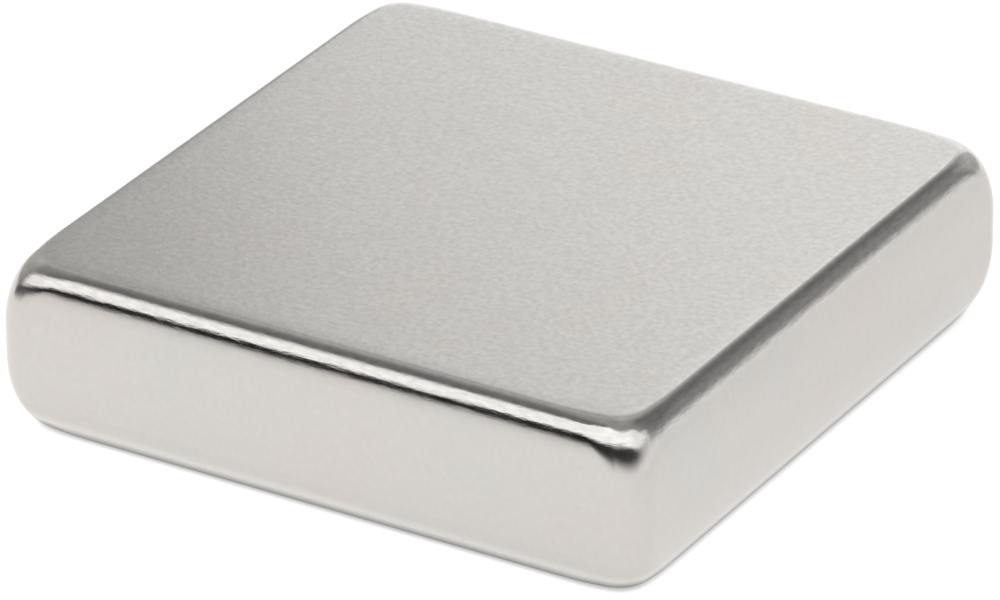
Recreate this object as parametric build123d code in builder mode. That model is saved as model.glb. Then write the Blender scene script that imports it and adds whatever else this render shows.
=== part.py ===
"""Block magnet: a flat square block of sintered magnet under bright nickel plate.

The block is cut with sharp edges and tumbled before it is plated. Tumbling leaves the two large faces
flat, rolls their edges over into the sides and rounds the upright corners. It wears a corner most where
three faces meet, so towards each large face the corner eases into the straight edges ever more gently.

Millimetres, +Z up. The origin is at the middle of the lower face.
"""

import os
from math import cos, radians, sin

from build123d import *

# Overall size of the block, over the plate
length = 20.0
width = 20.0
thickness = 5.0

# Rolled edge round each large face: how far it reaches in over the face, and how far down the side
roll_reach = 0.7
roll_drop = 2.05

# Upright corners in plan: the rounding, and the easing arc on either side of it, which turns by ease_angle
# in degrees. On the sides that arc is part of the rounding, and at the large faces it has face_ease_radius.
corner_radius = 0.9
face_ease_radius = 10.8
ease_angle = 9.0

# Outlines that the roll is drawn through, evenly spaced round its quarter turn
roll_outlines = 10


def plan_outline(inset, ease_radius):
    """Outline of the block from above, inset from its sides, run anticlockwise from the front."""
    ease = radians(ease_angle)

    # From where the sharp corner would be, along a side, to where the side becomes straight
    corner_reach = ease_radius * (1 + sin(ease) - cos(ease)) + corner_radius * (cos(ease) - sin(ease))

    inset_length = length - 2 * inset
    inset_width = width - 2 * inset
    with BuildLine() as outline:
        side_start = (corner_reach - inset_length / 2, -inset_width / 2)
        heading = 0
        for side in (inset_length, inset_width, inset_length, inset_width):
            straight = PolarLine(side_start, side - 2 * corner_reach, heading)
            ease_in = JernArc(straight @ 1, straight % 1, ease_radius, ease_angle)
            corner = JernArc(ease_in @ 1, ease_in % 1, corner_radius, 90 - 2 * ease_angle)
            ease_out = JernArc(corner @ 1, corner % 1, ease_radius, ease_angle)
            side_start = ease_out @ 1
            heading += 90
    return outline.line


def make_magnet_block():
    """The block's upper half, up its straight sides and over the roll, and the same again below it."""
    with BuildPart() as magnet_block:
        with BuildSketch(Plane.XY.offset(thickness / 2)):
            make_face(plan_outline(0, corner_radius).edges())
        extrude(amount=thickness / 2 - roll_drop)

        # In section the roll is a quarter ellipse, upright where it leaves the side and level at the face
        for step in range(roll_outlines):
            rise = radians(90) * step / (roll_outlines - 1)
            share = 1 - cos(rise)
            ease_radius = corner_radius + share * (face_ease_radius - corner_radius)
            with BuildSketch(Plane.XY.offset(thickness - roll_drop * (1 - sin(rise)))):
                make_face(plan_outline(share * roll_reach, ease_radius).edges())
        loft()

        mirror(about=Plane.XY.offset(thickness / 2))
    magnet_block.part.label = "magnet_block"
    return magnet_block


magnet_block = make_magnet_block()
os.makedirs("parts", exist_ok=True)
export_step(magnet_block.part, "parts/magnet_block.step")
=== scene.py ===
"""Looks of the block magnet: nickel plate, satin on the two large faces and glossy on the rolled edges.

Metres, +Z up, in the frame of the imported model. The camera looks at the block from the front right.
"""

import math

import bpy
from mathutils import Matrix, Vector, noise


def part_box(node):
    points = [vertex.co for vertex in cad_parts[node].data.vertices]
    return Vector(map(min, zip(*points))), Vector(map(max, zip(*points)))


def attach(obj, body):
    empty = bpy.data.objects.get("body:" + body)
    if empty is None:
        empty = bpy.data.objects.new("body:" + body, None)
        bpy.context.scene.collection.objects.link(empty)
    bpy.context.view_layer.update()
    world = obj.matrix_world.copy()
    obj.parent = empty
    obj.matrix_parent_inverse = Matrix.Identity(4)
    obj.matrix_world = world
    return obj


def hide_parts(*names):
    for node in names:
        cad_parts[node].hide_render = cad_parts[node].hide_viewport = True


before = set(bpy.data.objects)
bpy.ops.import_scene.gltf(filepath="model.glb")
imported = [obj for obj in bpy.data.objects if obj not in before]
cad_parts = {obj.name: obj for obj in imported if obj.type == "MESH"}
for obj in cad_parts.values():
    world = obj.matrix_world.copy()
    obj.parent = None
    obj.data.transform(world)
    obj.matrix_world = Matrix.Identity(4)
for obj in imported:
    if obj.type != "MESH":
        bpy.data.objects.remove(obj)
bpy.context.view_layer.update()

MM = 0.001
NODE = "magnet_block"

# The block's form, as in the solid that it stands for
ROLL_REACH = 0.7 * MM
ROLL_DROP = 2.05 * MM
CORNER_RADIUS = 0.9 * MM
FACE_EASE_RADIUS = 10.8 * MM
EASE_ANGLE = math.radians(9)

# How finely the mesh follows it: steps along each stretch of the outline, down each roll and down the
# sides, rings of the flat faces as shares of their rim, and steps close to that rim
STRAIGHT_STEPS = 100
EASE_STEPS = 12
CORNER_STEPS = 24
ROLL_STEPS = 24
SIDE_STEPS = 4
FACE_RINGS = (0.2, 0.5, 0.8, 0.94)
RIM_STEPS = 8

# The flat face starts to fall just inside its rim: how far in, and how low it is at the rim
RIM_WIDTH = 0.5 * MM
RIM_DROP = 0.005 * MM

# Unevenness that tumbling leaves in the rolls and sides: depth and width of its waves, and where on the
# roll it begins and is full, in radians round its quarter turn
PEEL_DEPTH = 0.003 * MM
PEEL_WIDTH = 1.3 * MM
PEEL_BEGINS = 0.1
PEEL_FULL = 0.5

# Where on the roll the plate stops looking as on the flat face, and where it begins to look as on the
# sides and does so fully, in radians round its quarter turn
FACE_LOOK_ENDS = 0.35
SIDE_LOOK_BEGINS = 0.66
SIDE_LOOK_FULL = 0.88

# The plate's colour, and its roughness on the flat faces, the rolls and the sides
NICKEL = (0.66, 0.65, 0.63)
FACE_ROUGHNESS = 0.12
ROLL_ROUGHNESS = 0.08
SIDE_ROUGHNESS = 0.15

# Broad patches: by what share they change the roughness, how wide they are, how warm and cool they tint
# the plate and over which range of the noise, and how much of the warm tint they and the sides get
PATCH_CHANGE = 0.15
PATCH_WIDTH = 0.9 * MM
TINT_WIDTH = 3.0 * MM
WARM_TINT = (1.03, 0.985, 0.965)
COOL_TINT = (0.995, 1.0, 0.99)
TINT_NOISE = (0.35, 0.65)
PATCH_WARMTH = 0.6
SIDE_WARMTH = 0.4

# The range that the other noises mostly keep to
NOISE_RANGE = (0.3, 0.7)

# Grain of the flat faces and fine waves of the rolls, as depth and width
GRAIN_DEPTH = 0.0016 * MM
GRAIN_WIDTH = 0.20 * MM
RIPPLE_DEPTH = 0.0045 * MM
RIPPLE_WIDTH = 0.16 * MM

# How many times longer than wide the rolls' waves are, drawn out along the edges
RIPPLE_STRETCH = 4.0

# How strong those waves are on the lower roll, as a share of their strength on the upper one
LOWER_WAVES = 0.2

# Painted shade on the sides: their colour is darkened to this share of the faces' and rolls', so that they
# reflect that much less
SIDE_PAINTED_SHADE = 0.88

# Mottling of the plate: how much lighter or darker its specks are on the faces and elsewhere, and how much
# darker its fine streaks are on the rolls, and how wide both are
FACE_MOTTLE = 0.09
SIDE_MOTTLE = 0.015
ROLL_STREAKS = 0.18
MOTTLE_WIDTH = 0.18 * MM
STREAK_WIDTH = 0.08 * MM

# The photograph's viewpoint, in degrees: round to the right from straight in front, up, and the camera's
# own tilt. Then its distance from where it aims, and how far that is left of the block's middle and below it.
VIEW_AROUND = 31.27
VIEW_UP = 27.634
VIEW_TILT = -0.5805
VIEW_DISTANCE = 221.96 * MM
AIM_LEFT = 0.151 * MM
AIM_DOWN = 0.493 * MM

# The lens and sensor, in millimetres as a camera states them, and the nearest distance that it draws
LENS = 294.64
SENSOR_WIDTH = 36
CLIP_START = 10 * MM

# The white floor: its width, how far it lies below the block, its light, how pale its paper is, and the
# share of the world's light that falls on that paper beside the block
FLOOR_WIDTH = 90 * MM
FLOOR_GAP = 0.01 * MM
FLOOR_LEVEL = 1.12
PAPER = 0.2
PAPER_LIGHT = 0.75

# Towards one bearing, at the back right, the floor darkens from one distance to another, by that share
DIM_BEARING = 150
DIM_BEGINS = -15 * MM
DIM_ENDS = 15 * MM
DIM_FALL = 0.10

# The block's shadow on the floor: how wide and how dark it is, and from what share of open sky over it the
# floor counts as bright. The same follows for the floor that the block mirrors.
SHADOW_WIDTH = 0.25 * MM
SHADOW_LEVEL = 0.40
SHADOW_OPEN = 0.5
MIRRORED_WIDTH = 0.40 * MM
MIRRORED_LEVEL = 0.02
MIRRORED_OPEN = 0.7
SHADOW_SAMPLES = 16

# The room that the block mirrors: its radius in metres, the bearing where its mesh starts and its lowest
# height in degrees, how finely its mesh and the small dark card's are drawn in degrees, and its plain
# light, where no card is
ROOM_RADIUS = 1.5
ROOM_START = -150
ROOM_BOTTOM = -30
ROOM_STEP = 1.0
ROOM_LEVEL = 1.0

# A height that nothing reaches: a card that goes on over the top fades there
TOP = 99

# Light and dark cards on the room, in degrees, each drawn over the ones before it. They were placed to give
# the block reflections like the photograph's. Each knot is a bearing round to the right from straight in
# front, the light there, and four heights: where the card begins and is full, and where it fades and ends.
STUDIO_CARDS = {
    "horizon": (
        (-150, 1.13, -40, -35, 0, 14),
        (210, 1.13, -40, -35, 0, 14),
    ),
    "side_wall": (
        (148, 0.55, -8, 2, TOP, TOP),
        (160, 0.58, -8, 2, TOP, TOP),
        (180, 0.62, -8, 2, TOP, TOP),
        (186, 1.00, -8, 2, TOP, TOP),
    ),
    "back_wall": (
        (184, 1.00, 2, 10, 18, 26),
        (194, 1.20, 2, 10, 18, 26),
        (210, 1.18, 2, 10, 18, 26),
    ),
    "back_wall_left": (
        (-150, 1.18, 2, 10, 18, 26),
        (-144, 1.00, 2, 10, 18, 26),
    ),
    "low_wall": (
        (122, 0.80, 0, 12, TOP, TOP),
        (127, 0.58, -2, 14, TOP, TOP),
        (132, 0.33, -3, 16, TOP, TOP),
        (137, 0.33, -8, 7, TOP, TOP),
        (146, 0.33, -8, 6, TOP, TOP),
        (151, 0.46, -8, 4, TOP, TOP),
    ),
    "canopy": (
        (-150, 0.56, 22, 41, TOP, TOP),
        (-147, 0.53, 18, 38, TOP, TOP),
        (-145.4, 0.50, 12, 31, TOP, TOP),
        (-143.6, 0.46, 8, 22, TOP, TOP),
        (-139.5, 0.50, -6, 6, TOP, TOP),
        (-120, 0.58, -6, 4, TOP, TOP),
        (-96, 0.48, -6, 4, TOP, TOP),
        (-72, 0.36, -6, 4, TOP, TOP),
        (-48, 0.20, -6, 4, TOP, TOP),
        (0, 0.27, 50, 60, TOP, TOP),
        (96, 0.45, 26, 44, TOP, TOP),
        (120, 0.33, 16, 34, TOP, TOP),
        (132, 0.25, 10, 26, TOP, TOP),
        (140, 0.21, 8, 26, TOP, TOP),
        (151, 0.21, 15, 29, TOP, TOP),
        (157, 0.22, 16, 30, TOP, TOP),
        (168, 0.27, 24, 34, TOP, TOP),
        (180, 0.40, 24, 40, TOP, TOP),
        (192, 0.50, 24, 42, TOP, TOP),
        (206, 0.58, 26, 42, TOP, TOP),
        (210, 0.56, 22, 41, TOP, TOP),
    ),
    "overhead": (
        (-135, 0.54, 36, 54, 64, 84),
        (-96, 0.38, 36, 54, 64, 84),
        (-62, 0.25, 36, 54, 64, 84),
        (-36, 0.20, 40, 50, 64, 84),
    ),
    "lip": (
        (196, 1.15, 29, 32, 32, 36),
        (203, 1.18, 28.2, 30.5, 31, 35),
        (207, 1.12, 28, 30, 30, 34),
        (210, 1.00, 28, 30, 30, 34),
    ),
    "softbox": (
        (-78, 0.35, 2, 8, 20, 34),
        (-70, 0.70, 2, 8, 24, 38),
        (-60, 1.15, 2, 8, 27, 40),
        (-48, 1.32, 2, 8, 32, 44),
        (-42, 1.38, 2, 8, 29, 45),
        (-34, 1.42, 2, 8, 28, 46),
        (-30, 1.42, 2, 8, 62, 76),
        (-12, 1.48, 2, 8, 66, 90),
        (12, 1.48, 22, 32, 72, 92),
        (60, 1.48, 22, 32, 72, 92),
        (84, 1.22, 10, 26, 60, 92),
        (96, 1.25, 8, 28, 40, 84),
        (108, 1.25, 8, 28, 33, 54),
        (120, 0.88, 8, 28, 26, 46),
        (127, 0.60, 14, 34, 14, 34),
    ),
    "gap": (
        (-86, 0.28, -10, -3, -1, 5),
        (-78, 0.14, -9, -1, 1, 9),
        (-66, 0.10, -7, 4, 6, 13),
        (-54, 0.08, -3, 7, 9, 15),
        (-40, 0.01, 1, 7, 11, 17),
        (-28, 0.02, 0, 7, 11, 18),
        (-18, 0.03, -2, 9, 15, 24),
        (-8, 0.03, -5, 11, 19, 29),
        (4, 1.20, -5, 11, 19, 29),
    ),
    "ceiling": (
        (-150, 0.42, 60, 74, TOP, TOP),
        (210, 0.42, 60, 74, TOP, TOP),
    ),
}

# A small dark card on a bend round the front right corner, out of the picture: how far out it is, and the
# middle of the bend. Its knots are as above, seen from that middle. It reaches from FLAG_BOTTOM up to
# FLAG_TOP, and its two ends fade out over FLAG_EDGE, all in degrees.
FLAG_RADIUS = 8 * MM
FLAG_MIDDLE = Vector((9.3, -9.3, 4.6)) * MM
FLAG_BOTTOM = -10
FLAG_TOP = 46
FLAG_EDGE = 10
FLAG = (
    (-40, 0.02, 0, 5, 8, 13),
    (-28, 0.02, -2, 7, 11, 18),
    (-12, 0.03, -5, 10, 17, 27),
    (0, 0.03, -6, 12, 21, 32),
    (24, 0.03, -7, 14, 25, 44),
    (48, 0.05, -8, 14, 29, 37),
    (60, 0.05, -8, 15, 25, 36),
    (72, 0.08, -7, 17, 19, 32),
    (84, 0.32, -4, 16, 16, 27),
    (96, 0.70, -4, 13, 14, 30),
    (108, 0.78, -2, 12, 13, 32),
    (124, 0.75, -2, 13, 16, 29),
)


def smoothstep(start, end, value):
    """0 up to start, 1 from end on, and a smooth rise between them."""
    if start == end:
        return float(value >= end)
    t = min(max((value - start) / (end - start), 0), 1)
    return t * t * (3 - 2 * t)


def direction(around, up):
    """The way that lies round to the right from straight in front of the block, and up, in degrees."""
    around, up = math.radians(around), math.radians(up)
    return Vector((math.sin(around) * math.cos(up), -math.cos(around) * math.cos(up), math.sin(up)))


def plan_run(place, heading, distance, turn, steps):
    """Steps along a straight run, or along an arc that turns left, as places with the way out at each."""
    samples = []
    bend = turn / steps
    stride = distance / steps * (math.sin(bend / 2) / (bend / 2) if bend else 1)
    for step in range(steps):
        samples.append((place, Vector((math.sin(heading), -math.cos(heading), 0))))
        ahead = heading + bend / 2
        place = place + stride * Vector((math.cos(ahead), math.sin(ahead), 0))
        heading += bend
    return samples, place, heading


def plan_outline(length, width, inset, ease_radius):
    """The block's outline that far in from its sides, run anticlockwise from the front about its middle."""
    ease_reach = ease_radius * (1 + math.sin(EASE_ANGLE) - math.cos(EASE_ANGLE))
    corner_reach = ease_reach + CORNER_RADIUS * (math.cos(EASE_ANGLE) - math.sin(EASE_ANGLE))
    corner_angle = math.radians(90) - 2 * EASE_ANGLE
    ease_run = (ease_radius * EASE_ANGLE, EASE_ANGLE, EASE_STEPS)
    corner_run = (CORNER_RADIUS * corner_angle, corner_angle, CORNER_STEPS)
    length -= 2 * inset
    width -= 2 * inset
    place = Vector((corner_reach - length / 2, -width / 2, 0))
    heading = 0
    outline = []
    for side in (length, width, length, width):
        straight_run = (side - 2 * corner_reach, 0, STRAIGHT_STEPS)
        for run in (straight_run, ease_run, corner_run, ease_run):
            samples, place, heading = plan_run(place, heading, *run)
            outline += samples
    return outline


def wall_section(thickness):
    """From the upper face's rim to the lower one's: how high, and how far round each roll."""
    quarter = math.radians(90)
    turns = [quarter * step / ROLL_STEPS for step in range(ROLL_STEPS + 1)]
    upper = [(thickness - ROLL_DROP * (1 - math.cos(turn)), turn) for turn in turns]
    lower = [(thickness - height, turn) for height, turn in reversed(upper)]
    side_step = (thickness - 2 * ROLL_DROP) / SIDE_STEPS
    side = [(thickness - ROLL_DROP - side_step * step, quarter) for step in range(1, SIDE_STEPS)]
    return upper + side + lower


def peel(point):
    """How far the surface lies in from the true form, at most PEEL_DEPTH."""
    return PEEL_DEPTH * (0.5 + 0.5 * noise.noise(point / PEEL_WIDTH))


def face_rings(length, width, centre, outward):
    """Rings of a large face out to its rim. Outward is 1 for the upper face and -1 for the lower one."""
    rim = plan_outline(length, width, ROLL_REACH, FACE_EASE_RADIUS)
    rings = [[centre + scale * place for place, _ in rim] for scale in FACE_RINGS]
    for step in range(RIM_STEPS):
        share = step / RIM_STEPS
        outline = plan_outline(length, width, ROLL_REACH + RIM_WIDTH * (1 - share), FACE_EASE_RADIUS)
        fallen = centre - Vector((0, 0, outward * RIM_DROP * share**2))
        rings.append([fallen + place for place, _ in outline])
    return rings


def wall_ring(length, width, centre, height, turn, outward):
    """The wall's ring of points at that height over the lower face and that far round the roll."""
    share = 1 - math.sin(turn)
    ease_radius = CORNER_RADIUS + share * (FACE_EASE_RADIUS - CORNER_RADIUS)

    # The roll starts as low as the face's rim and with its slope, and has lost both where it is upright
    rim_slope = 2 * RIM_DROP / RIM_WIDTH
    fall = (RIM_DROP + rim_slope * ROLL_REACH * math.sin(turn)) * share
    raised = centre + Vector((0, 0, height - outward * fall))
    unevenness = smoothstep(PEEL_BEGINS, PEEL_FULL, turn)
    ring = []
    for place, out in plan_outline(length, width, share * ROLL_REACH, ease_radius):
        upward = Vector((0, 0, outward * math.cos(turn) / ROLL_DROP))
        normal = (out * math.sin(turn) / ROLL_REACH + upward).normalized()
        point = raised + place
        ring.append(point - normal * peel(point) * unevenness)
    return ring


def look_shares(turn, outward):
    """How far the plate looks as on the flat face, and as on the sides, and how strong its waves are."""
    face_share = 1 - smoothstep(0, FACE_LOOK_ENDS, turn)
    side_share = smoothstep(SIDE_LOOK_BEGINS, SIDE_LOOK_FULL, turn)
    waves = 1 if outward > 0 else LOWER_WAVES
    return face_share, side_share, (1 - face_share) * (1 - side_share) * waves


def closed_skin(count, rows):
    """Faces between one point at the top, rows of that many points each, and one point at the bottom."""
    last = 1 + rows * count
    lowest = last - count
    faces = []
    for here in range(count):
        beside = (here + 1) % count
        faces.append((0, 1 + here, 1 + beside))
        for upper in range(1, lowest, count):
            lower = upper + count
            faces.append((upper + here, lower + here, lower + beside, upper + beside))
        faces.append((lowest + here, last, lowest + beside))
    return faces


def make_block():
    """The block as one closed mesh, with the plate's look kept at each point."""
    low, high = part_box(NODE)
    length, width, thickness = high - low
    bottom = Vector(((low.x + high.x) / 2, (low.y + high.y) / 2, low.z))
    top = bottom + Vector((0, 0, thickness))
    flat_look = (1, 0, 0)

    rings = [(ring, flat_look) for ring in face_rings(length, width, top, 1)]
    for height, turn in wall_section(thickness):
        outward = math.copysign(1, height - thickness / 2)
        ring = wall_ring(length, width, bottom, height, turn, outward)
        rings.append((ring, look_shares(turn, outward)))
    rings += [(ring, flat_look) for ring in reversed(face_rings(length, width, bottom, -1))]

    points, looks = [top], [flat_look]
    for ring, look in rings:
        points += ring
        looks += [look] * len(ring)
    points.append(bottom)
    looks.append(flat_look)

    mesh = bpy.data.meshes.new("nickel_block")
    mesh.from_pydata(points, [], closed_skin(len(rings[0][0]), len(rings)))
    mesh.shade_smooth()
    for name, values in zip(("face_share", "side_share", "wave_share"), zip(*looks)):
        mesh.attributes.new(name, "FLOAT", "POINT").data.foreach_set("value", values)
    block = bpy.data.objects.new("nickel_block", mesh)
    bpy.context.scene.collection.objects.link(block)
    return block


def add_node(tree, kind, outlet=0, settings=None, **inlets):
    """A new node's outlet. An inlet is named, or n and its number, and takes a value or an outlet."""
    node = tree.nodes.new(kind)
    for name, value in (settings or {}).items():
        setattr(node, name, value)
    for name, value in inlets.items():
        numbered = name[0] == "n" and name[1:].isdigit()
        inlet = node.inputs[int(name[1:]) if numbered else name]
        if isinstance(value, bpy.types.NodeSocket):
            tree.links.new(value, inlet)
        else:
            inlet.default_value = value
    return node.outputs[outlet]


def maths(tree, operation, *values):
    inlets = {f"n{i}": value for i, value in enumerate(values)}
    return add_node(tree, "ShaderNodeMath", settings={"operation": operation}, **inlets)


def attribute(tree, name):
    return add_node(tree, "ShaderNodeAttribute", "Fac", {"attribute_name": name})


def grain(tree, width, detail, roughness=0.5, squeeze=(1, 1, 1)):
    """Noise from 0 to 1 with grains of that width, in the object's own space squeezed along its axes."""
    place = add_node(tree, "ShaderNodeTexCoord", "Object")
    place = add_node(tree, "ShaderNodeVectorMath", 0, {"operation": "MULTIPLY"}, n0=place, n1=squeeze)
    inlets = {"Vector": place, "Scale": 1 / width, "Detail": detail, "Roughness": roughness}
    return add_node(tree, "ShaderNodeTexNoise", **inlets)


def spread(tree, value, from_range, to_low, to_high):
    """The value moved from one range to another, and kept within it."""
    inlets = {"From Min": from_range[0], "From Max": from_range[1], "To Min": to_low, "To Max": to_high}
    return add_node(tree, "ShaderNodeMapRange", Value=value, **inlets)


def nickel_roughness(tree, face, side):
    """Satin on the faces, glossy on the rolls and a little softer on the sides, in faint patches."""
    roughness = spread(tree, side, (0, 1), ROLL_ROUGHNESS, SIDE_ROUGHNESS)
    roughness = maths(tree, "MULTIPLY_ADD", face, FACE_ROUGHNESS - ROLL_ROUGHNESS, roughness)
    patches = grain(tree, PATCH_WIDTH, detail=3)
    patches = spread(tree, patches, NOISE_RANGE, 1 - PATCH_CHANGE, 1 + PATCH_CHANGE)
    return maths(tree, "MULTIPLY", roughness, patches)


def nickel_tint(tree, side):
    """The plate's colour in patches from cool to warm, warmer on the sides."""
    patches = spread(tree, grain(tree, TINT_WIDTH, detail=2), TINT_NOISE, 0, PATCH_WARMTH)
    warmth = maths(tree, "ADD", patches, maths(tree, "MULTIPLY", side, SIDE_WARMTH))
    warm = tuple(c * tint for c, tint in zip(NICKEL, WARM_TINT)) + (1,)
    cool = tuple(c * tint for c, tint in zip(NICKEL, COOL_TINT)) + (1,)
    return add_node(tree, "ShaderNodeMix", 2, {"data_type": "RGBA"}, n0=warmth, n6=cool, n7=warm)


def nickel_colour(tree, face, side, waves, along_edges):
    """That colour with specks on the faces and streaks on the rolls, and with painted shade that makes the
    sides a little darker.
    """
    specks = spread(tree, grain(tree, MOTTLE_WIDTH, detail=3, roughness=0.6), NOISE_RANGE, -1, 1)
    streaks = spread(tree, grain(tree, STREAK_WIDTH, detail=2, squeeze=along_edges), NOISE_RANGE, -1, 0)
    mottle = spread(tree, face, (0, 1), SIDE_MOTTLE, FACE_MOTTLE)
    # Painted shade darkens the sides' colour here, on top of the specks
    shade = maths(tree, "MULTIPLY_ADD", specks, mottle, spread(tree, side, (0, 1), 1, SIDE_PAINTED_SHADE))
    shade = maths(tree, "MULTIPLY_ADD", streaks, maths(tree, "MULTIPLY", waves, ROLL_STREAKS), shade)
    tint = nickel_tint(tree, side)
    return add_node(tree, "ShaderNodeVectorMath", 0, {"operation": "SCALE"}, n0=tint, Scale=shade)


def nickel_bump(tree, face, waves, along_edges):
    """The grain of the faces and the drawn out waves of the rolls."""
    face_height = maths(tree, "MULTIPLY", grain(tree, GRAIN_WIDTH, detail=3, roughness=0.6), GRAIN_DEPTH)
    ripple = grain(tree, RIPPLE_WIDTH, detail=3, roughness=0.6, squeeze=along_edges)
    roll_height = maths(tree, "MULTIPLY", ripple, RIPPLE_DEPTH)
    face_part = maths(tree, "MULTIPLY", face_height, face)
    roll_part = maths(tree, "MULTIPLY", roll_height, waves)
    height = maths(tree, "ADD", face_part, roll_part)
    return add_node(tree, "ShaderNodeBump", Strength=1.0, Distance=1.0, Height=height)


def make_nickel():
    """Nickel plate: satin and finely grained on the faces, glossy and faintly rippled on the rolls."""
    material = bpy.data.materials.new("nickel_plate")
    material.use_nodes = True
    tree = material.node_tree
    shader = tree.nodes["Principled BSDF"]
    shader.inputs["Metallic"].default_value = 1.0
    face = attribute(tree, "face_share")
    side = attribute(tree, "side_share")
    waves = attribute(tree, "wave_share")
    along_edges = (1 / RIPPLE_STRETCH, 1 / RIPPLE_STRETCH, 1)
    tree.links.new(nickel_roughness(tree, face, side), shader.inputs["Roughness"])
    tree.links.new(nickel_colour(tree, face, side, waves, along_edges), shader.inputs["Base Color"])
    tree.links.new(nickel_bump(tree, face, waves, along_edges), shader.inputs["Normal"])
    return material


def along(knots, bearing):
    """The values at a bearing on the lines through the knots, each a bearing and then its values."""
    for knot, after in zip(knots, knots[1:]):
        if knot[0] <= bearing <= after[0]:
            share = (bearing - knot[0]) / (after[0] - knot[0])
            return [a + share * (b - a) for a, b in zip(knot[1:], after[1:])]
    return None


def card_at(knots, bearing, up):
    """A card's light at a bearing and a height, and how much of what is behind it the card covers there."""
    values = along(knots, bearing)
    if not values:
        return 0, 0
    level, begins, full_from, full_to, ends = values
    return level, smoothstep(begins, full_from, up) * (1 - smoothstep(full_to, ends, up))


def room_light(bearing, up):
    """The light that comes from a bearing and a height: the plain room, and then each card in turn."""
    light = ROOM_LEVEL
    for knots in STUDIO_CARDS.values():
        level, cover = card_at(knots, bearing, up)
        light += cover * (level - light)
    return light


def flag_light(bearing, up):
    """The flag's light at a bearing and a height from its middle, and how solid it is there."""
    first, last = FLAG[0][0], FLAG[-1][0]
    level, cover = card_at(FLAG, bearing, up)
    cover *= smoothstep(first, first + FLAG_EDGE, bearing)
    cover *= 1 - smoothstep(last - FLAG_EDGE, last, bearing)
    return level, cover


def flag_place(bearing, up):
    """The flag's point at a bearing and a height from its middle."""
    rise = Vector((0, 0, math.tan(math.radians(up))))
    return FLAG_MIDDLE + FLAG_RADIUS * (direction(bearing, 0) + rise)


def degree_steps(start, end):
    """From start to end in steps of the room's mesh."""
    return [start + i * ROOM_STEP for i in range(round((end - start) / ROOM_STEP) + 1)]


def make_glow_material(name):
    """Light as strong as each point's level, over what is behind it as far as the point's cover goes."""
    material = bpy.data.materials.new(name)
    material.use_nodes = True
    material.cycles.emission_sampling = "NONE"
    tree = material.node_tree
    tree.nodes.clear()
    light = add_node(tree, "ShaderNodeEmission", Strength=attribute(tree, "level"))
    clear = add_node(tree, "ShaderNodeBsdfTransparent")
    sheet = add_node(tree, "ShaderNodeMixShader", n0=attribute(tree, "cover"), n1=clear, n2=light)
    output = tree.nodes.new("ShaderNodeOutputMaterial")
    tree.links.new(sheet, output.inputs["Surface"])
    return material


def make_glow(name, bearings, heights, place, light, closed):
    """A glowing sheet over bearings and heights, which the block mirrors and the camera doesn't see."""
    across, rows = len(bearings), len(heights)
    spots = [(bearing, up) for bearing in bearings for up in heights]
    levels, covers = zip(*(light(*spot) for spot in spots))
    faces = []
    for column in range(across if closed else across - 1):
        here, beside = column * rows, (column + 1) % across * rows
        faces += [(here + j, here + j + 1, beside + j + 1, beside + j) for j in range(rows - 1)]
    mesh = bpy.data.meshes.new(name)
    mesh.from_pydata([place(*spot) for spot in spots], [], faces)
    mesh.attributes.new("level", "FLOAT", "POINT").data.foreach_set("value", levels)
    mesh.attributes.new("cover", "FLOAT", "POINT").data.foreach_set("value", covers)
    mesh.materials.append(make_glow_material(name))
    glow = bpy.data.objects.new(name, mesh)
    bpy.context.scene.collection.objects.link(glow)
    glow.visible_camera = False
    glow.visible_diffuse = False
    glow.visible_shadow = False


def make_room():
    """The studio round the block, as one shell."""
    bearings = degree_steps(ROOM_START, ROOM_START + 360)[:-1]
    heights = degree_steps(ROOM_BOTTOM, 90)

    def place(bearing, up):
        return ROOM_RADIUS * direction(bearing, up)

    def light(bearing, up):
        return room_light(bearing, up), 1.0

    make_glow("studio_room", bearings, heights, place, light, closed=True)


def make_flag():
    """The dark card round the front right corner."""
    bearings = degree_steps(FLAG[0][0], FLAG[-1][0])
    heights = degree_steps(FLAG_BOTTOM, FLAG_TOP)
    make_glow("corner_flag", bearings, heights, flag_place, flag_light, closed=False)


def open_floor(tree, width, open_share, shadow_level):
    """1 on the open floor, down to the shadow's level where the block is closer than that width."""
    settings = {"samples": SHADOW_SAMPLES}
    sky = add_node(tree, "ShaderNodeAmbientOcclusion", "AO", settings, Distance=width)
    return spread(tree, sky, (0, open_share), shadow_level, 1)


def floor_light(tree):
    """The floor's own light, which only the camera, reflections and clear things see."""
    path = tree.nodes.new("ShaderNodeLightPath")
    mirrored = maths(tree, "ADD", path.outputs["Is Glossy Ray"], path.outputs["Is Transmission Ray"])
    seen_floor = open_floor(tree, SHADOW_WIDTH, SHADOW_OPEN, SHADOW_LEVEL)
    mirrored_floor = open_floor(tree, MIRRORED_WIDTH, MIRRORED_OPEN, MIRRORED_LEVEL)
    seen = maths(tree, "MULTIPLY", path.outputs["Is Camera Ray"], seen_floor)
    seen = maths(tree, "MULTIPLY_ADD", mirrored, mirrored_floor, seen)

    place = add_node(tree, "ShaderNodeTexCoord", "Object")
    away = direction(DIM_BEARING, 0)
    away = add_node(tree, "ShaderNodeVectorMath", "Value", {"operation": "DOT_PRODUCT"}, n0=place, n1=away)
    dimmed = FLOOR_LEVEL * (1 - DIM_FALL)
    level = spread(tree, away, (DIM_BEGINS, DIM_ENDS), FLOOR_LEVEL, dimmed)
    level = maths(tree, "SUBTRACT", level, PAPER_LIGHT * PAPER)
    return maths(tree, "MULTIPLY", seen, level)


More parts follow.
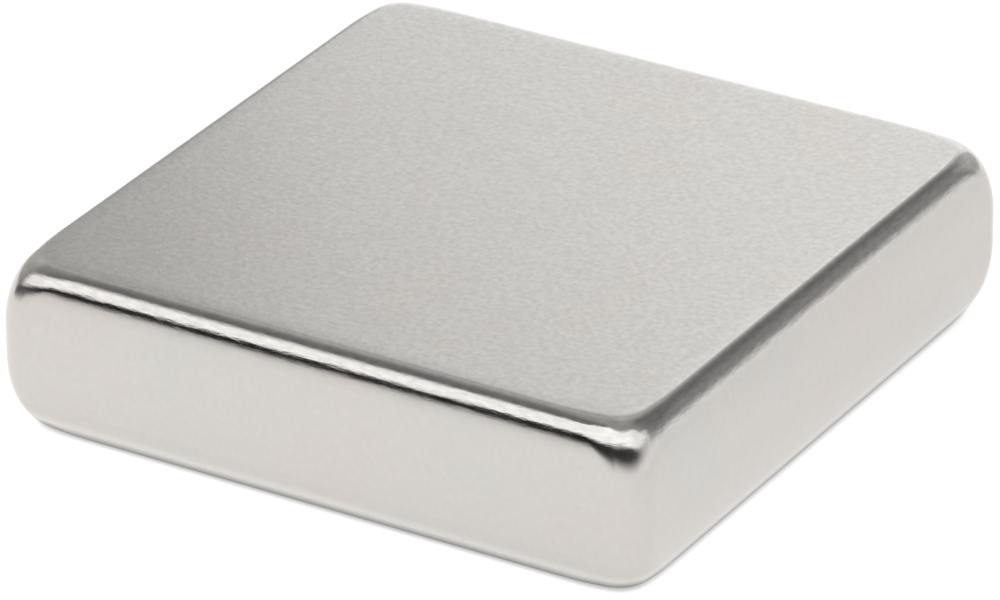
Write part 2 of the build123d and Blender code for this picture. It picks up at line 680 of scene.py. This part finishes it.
def make_floor():
    """A white floor that keeps the block's shadow, and is a little darker at the back right."""
    bpy.ops.mesh.primitive_plane_add(size=FLOOR_WIDTH, location=(0, 0, -FLOOR_GAP))
    floor = bpy.context.object
    floor.name = "floor"
    material = bpy.data.materials.new("white_floor")
    material.use_nodes = True
    tree = material.node_tree
    tree.nodes.clear()
    paper = add_node(tree, "ShaderNodeBsdfDiffuse", Color=(PAPER, PAPER, PAPER, 1))
    glow = add_node(tree, "ShaderNodeEmission", Strength=floor_light(tree))
    both = add_node(tree, "ShaderNodeAddShader", n0=paper, n1=glow)
    output = tree.nodes.new("ShaderNodeOutputMaterial")
    tree.links.new(both, output.inputs["Surface"])
    floor.data.materials.append(material)


def make_world():
    """Even white light, which falls on the floor's paper and is the white behind the block."""
    world = bpy.data.worlds.new("white_studio")
    bpy.context.scene.world = world
    world.use_nodes = True
    background = world.node_tree.nodes["Background"]
    background.inputs["Color"].default_value = (1, 1, 1, 1)
    background.inputs["Strength"].default_value = 1.0


def make_camera():
    """The photograph's viewpoint."""
    back = direction(VIEW_AROUND, VIEW_UP)
    level_right = direction(VIEW_AROUND + 90, 0)
    level_up = back.cross(level_right)
    tilt = math.radians(VIEW_TILT)
    right = math.cos(tilt) * level_right + math.sin(tilt) * level_up
    up = back.cross(right)
    low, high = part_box(NODE)
    aim = (low + high) / 2 - AIM_LEFT * right - AIM_DOWN * up
    camera = bpy.data.objects.new("camera", bpy.data.cameras.new("camera"))
    bpy.context.scene.collection.objects.link(camera)
    camera.data.sensor_fit = "HORIZONTAL"
    camera.data.sensor_width = SENSOR_WIDTH
    camera.data.lens = LENS
    camera.data.clip_start = CLIP_START
    axes = camera.matrix_world.to_3x3()
    axes.col[0], axes.col[1], axes.col[2] = right, up, back
    camera.matrix_world = axes.to_4x4()
    camera.location = aim + VIEW_DISTANCE * back
    bpy.context.scene.camera = camera


make_camera()
make_world()
make_floor()
make_room()
make_flag()
block = make_block()
block.data.materials.append(make_nickel())
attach(block, "root")
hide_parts(NODE)
bpy.context.scene.view_settings.view_transform = "Standard"
